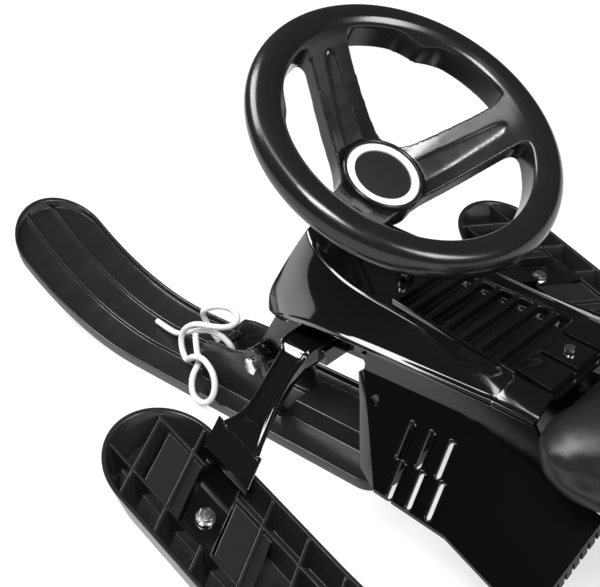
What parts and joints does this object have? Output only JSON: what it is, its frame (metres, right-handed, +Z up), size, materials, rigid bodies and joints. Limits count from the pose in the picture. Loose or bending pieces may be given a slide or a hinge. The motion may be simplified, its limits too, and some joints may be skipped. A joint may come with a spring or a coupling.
{
  "type": "steering sled",
  "caption": "Steerable sled with a dished steering wheel, a pivoting front ski, side skis on arms, a cowl, a padded seat, a sprung foot brake and a tow rope.",
  "frame": {"origin": "on the ground under the middle of the sled's bounding box", "axes": "+X forward to the ski's tip, +Y to the rider's left, +Z up"},
  "size_m": [1.132, 0.586, 0.4452],
  "materials": {
    "wheel_plastic": "satin black, lightly grained",
    "ring_white": "plain white ring",
    "cap_plastic": "dark grey satin disc",
    "zinc_steel": "bright zinc plate",
    "black_steel": "gloss black paint",
    "bush_plastic": "black nylon",
    "ski_plastic": "satin black moulding",
    "gloss_plastic": "high-gloss black moulding",
    "base_plastic": "black moulding",
    "seat_vinyl": "matte black vinyl",
    "white_rope": "white braided rope"
  },
  "bodies": {
    "frame": {"main_frame": "black_steel", "cowl": "gloss_plastic", "vent_grille": "gloss_plastic", "cowl_pads": "gloss_plastic", "cowl_screws": "zinc_steel", "seat_base": "base_plastic", "seat_pad": "seat_vinyl", "seat_screws": "zinc_steel", "front_arm_left": "gloss_plastic", "front_arm_right": "gloss_plastic", "rear_arm_left": "gloss_plastic", "rear_arm_right": "gloss_plastic", "side_ski_left": "ski_plastic", "side_ski_right": "ski_plastic", "board_bolts": "zinc_steel", "board_bolt_plates": "zinc_steel", "arm_cross_bolts": "zinc_steel", "arm_cross_nuts": "zinc_steel", "upper_column_bush": "bush_plastic", "lower_column_bush": "bush_plastic", "brake_rod": "zinc_steel", "brake_rod_caps": "bush_plastic"},
    "steering": {"steering_wheel": "wheel_plastic", "hub_ring": "ring_white", "hub_cap": "cap_plastic", "wheel_nut": "zinc_steel", "steering_column": "black_steel", "steering_fork": "black_steel"},
    "ski": {"front_ski": "ski_plastic", "ski_pivot_bolt": "zinc_steel", "ski_pivot_nut": "zinc_steel", "tow_rope": "white_rope"},
    "brake": {"brake_plate": "black_steel"}
  },
  "joints": [
    {"name": "steering_turn", "type": "hinge", "parent": "frame", "child": "steering", "pos_m": [0.116, 0, 0.06], "axis": [-0.5878, 0, 0.809], "range_deg": [-25, 25]},
    {"name": "ski_pitch", "type": "hinge", "parent": "steering", "child": "ski", "pos_m": [0.116, 0, 0.06], "axis": [0, 1, 0], "range_deg": [-12, 12]},
    {"name": "brake_press", "type": "hinge", "parent": "frame", "child": "brake", "pos_m": [-0.11, 0, 0.14], "axis": [0, -1, 0], "range_deg": [0, 11], "stiffness_Nm_per_rad": 4, "springref_deg": -34.38}
  ]
}
